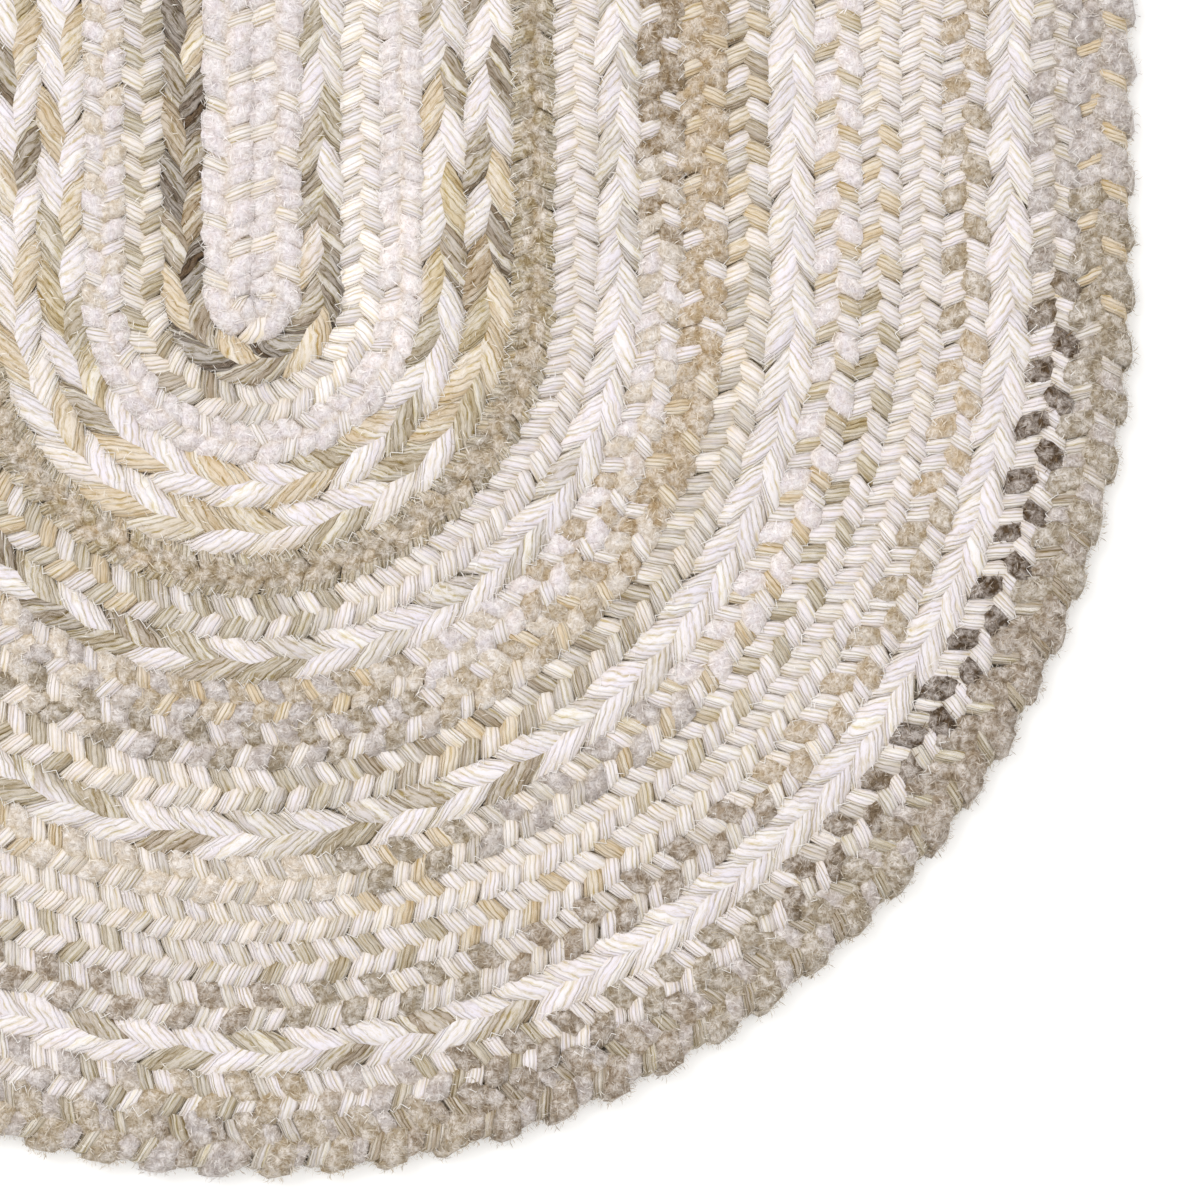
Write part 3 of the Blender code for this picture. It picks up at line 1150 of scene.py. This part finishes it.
# Tilts are in radians. The other limits are for the spot that a tuft stands on: its reach
# from -1 to 1 across the braid, its place across its strand, and how far it faces up.
ANY_REACH = {"Least outward": -2.0, "Least reach": -1.0, "Most reach": 2.0}
TUFTS = {
    **ANY_REACH,
    "Per square metre": 430000.0, "Length": 2.9 * MM, "Width": 0.34 * MM, "Bow": 0.3 * MM,
    "Least tilt": -0.1, "Most tilt": 0.5,
    "Least across": 0.5, "Least up": 0.25, "Least height": 5.6 * MM,
}
FIBRES = {
    **ANY_REACH,
    "Length": 3.2 * MM, "Width": 0.3 * MM, "Bow": 0.7 * MM,
    "Least tilt": 0.0, "Most tilt": 0.6, "Least reach": 0.6,
    "Least across": 0.0, "Least up": 0.1, "Least height": 5.8 * MM,
}
FUZZ = {
    **FIBRES,
    "Per square metre": 600000.0, "Length": 2.9 * MM, "Width": 0.22 * MM,
    "Least tilt": 0.2, "Most tilt": 1.3, "Least outward": 0.72,
    "Least up": -0.35, "Least height": 2.0 * MM,
}
MIXED_MOST_REACH = 0.75
RIM_LEAST_HEIGHT = 4.4 * MM
INNER_ROWS = 10  # their cotton has more stray fibres
FIBRE_SEEDS = 50
FUZZ_SEED = 90

STITCH = 4.9 * MM  # along the seam, from one side and back
STITCHES = {"Straight run": STRAIGHT_RUN, "Half width": 1.6 * MM, "Thickness": 0.52 * MM}
ON_TOP = {"Start height": 20 * MM, "Way": -1.0, "Least height": 7.3 * MM, "Flat": False}
BELOW = {"Start height": -10 * MM, "Way": 1.0, "Least height": 0.3 * MM, "Flat": True}


def fibres_per_square_metre(fibre, number):
    if fibre == "mixed":
        return 300000.0
    return 100000.0 if number < INNER_ROWS else 50000.0


def add_tufts(tree, braid, row, number, materials):
    """Loose tufts on a row's chenille, single stray fibres on its cotton, and finer fuzz on
    both along the rug's rim."""
    outermost = row is ROWS[-1]
    fibre = next((s.fibre for s in row.strands if s.fibre != "cotton"), None)

    def scatter(ending, sizes, on, look, seed):
        given = {**sizes, "On": materials[on], "Tuft": materials[look], "Seed": seed}
        piece = bake(f"{row.node}_{ending}", tree, given, braid.data)
        keep(piece, row.node)

    if fibre:
        tufts = dict(TUFTS)
        if fibre == "mixed":
            tufts["Most reach"] = MIXED_MOST_REACH
        if outermost:
            tufts["Least height"] = RIM_LEAST_HEIGHT
        scatter("tufts", tufts, fibre, "tuft", number)
    if fibre != "chenille" or any(s.fibre == "cotton" for s in row.strands):
        fibres = {**FIBRES, "Per square metre": fibres_per_square_metre(fibre, number)}
        on = "mixed" if fibre == "mixed" else "cotton"
        scatter("fibres", fibres, on, "stray", number + FIBRE_SEEDS)
    if outermost:
        for kind in ("chenille", "cotton"):
            scatter(f"rim_fuzz_{kind}", FUZZ, kind, "stray", FUZZ_SEED)


def add_seam(tree, inner, outer, number, radius, materials):
    """The zigzag that joins two braids, on top of them and below."""
    sizes = {
        **STITCHES,
        "Seam radius": radius, "Legs": 2 * round(ring_round(radius) / STITCH),
        "Seed": number * 20, "Inner braid": inner, "Outer braid": outer,
        "Thread": materials["thread"],
    }
    for ending, side in (("stitches", ON_TOP), ("stitches_below", BELOW)):
        stitches = bake(f"seam_{number:02d}_{ending}", tree, {**sizes, **side})
        keep(stitches, None)


def build_rug():
    """The rows from the middle out, each sewn to the one before."""
    braids, tufts, stitches = braid_tree(), tuft_tree(), stitch_tree()
    materials = {
        "cotton": cotton_material(),
        "chenille": chenille_material(),
        "mixed": mixed_material(),
        "tuft": tuft_material("loose_tuft", 0.3),
        "stray": tuft_material("stray_fibre", 0.75),
        "thread": thread_material(),
    }
    inner, seam = None, CENTRE_SLIT / 2
    for number, row in enumerate(ROWS):
        width = row.width * MM
        braid = make_braid(braids, row, number, seam + width / 2, materials)
        add_tufts(tufts, braid, row, number, materials)
        if inner:
            add_seam(stitches, inner, braid, number, seam, materials)
        inner, seam = braid, seam + width if inner else CENTRE_WIDTH


# --- Stage ---

PHOTO_WIDTH = 0.4193  # metres, measured on the top of the rug
PHOTO_MIDDLE = (0.1216, -0.2591)
TOP_HEIGHT = 8.0 * MM
CAMERA_HEIGHT = 2.2
SENSOR_WIDTH = 36.0  # millimetres, as is the focal length
FLOOR_WIDTH = 8.0
FLOOR_DROP = 0.3 * MM
FLOOR_COLOUR = (0.9, 0.9, 0.9, 1)
FLOOR_GLOW = 0.12
WORLD_COLOUR = (0.985, 0.975, 0.955, 1)
WORLD_STRENGTH = 1.15


def add_floor():
    bpy.ops.mesh.primitive_plane_add(size=FLOOR_WIDTH, location=(0.0, 0.0, -FLOOR_DROP))
    floor = bpy.context.object
    floor.name = "floor"
    paint, _, shader = plain_material("pale_floor", 0.9, 0.5)
    shader["Base Color"].default_value = FLOOR_COLOUR
    shader["Emission Color"].default_value = (1, 1, 1, 1)
    shader["Emission Strength"].default_value = FLOOR_GLOW
    floor.data.materials.append(paint)


def add_camera():
    data = bpy.data.cameras.new("camera")
    data.sensor_width = SENSOR_WIDTH
    data.lens = SENSOR_WIDTH * (CAMERA_HEIGHT - TOP_HEIGHT) / PHOTO_WIDTH
    data.clip_start, data.clip_end = 0.05, 20.0
    camera = new_object("camera", data)
    camera.location = (*PHOTO_MIDDLE, CAMERA_HEIGHT)
    bpy.context.scene.camera = camera


def add_lamp(name, power, size, place, colour):
    """A square lamp that points at the middle of the rug."""
    data = bpy.data.lights.new(name, "AREA")
    data.energy, data.size, data.color = power, size, colour
    lamp = new_object(name, data)
    lamp.location = place
    lamp.rotation_euler = (-lamp.location).to_track_quat("-Z", "Y").to_euler()


def add_world():
    world = bpy.data.worlds.new("studio")
    bpy.context.scene.world = world
    world.use_nodes = True
    background = world.node_tree.nodes["Background"].inputs
    background["Color"].default_value = WORLD_COLOUR
    background["Strength"].default_value = WORLD_STRENGTH


def build_stage():
    add_floor()
    add_camera()
    add_lamp("key", power=31.0, size=1.6, place=(-1.5, 1.2, 2.2), colour=(0.98, 0.965, 0.985))
    add_world()
    bpy.context.scene.view_settings.view_transform = "Standard"


build_rug()
build_stage()
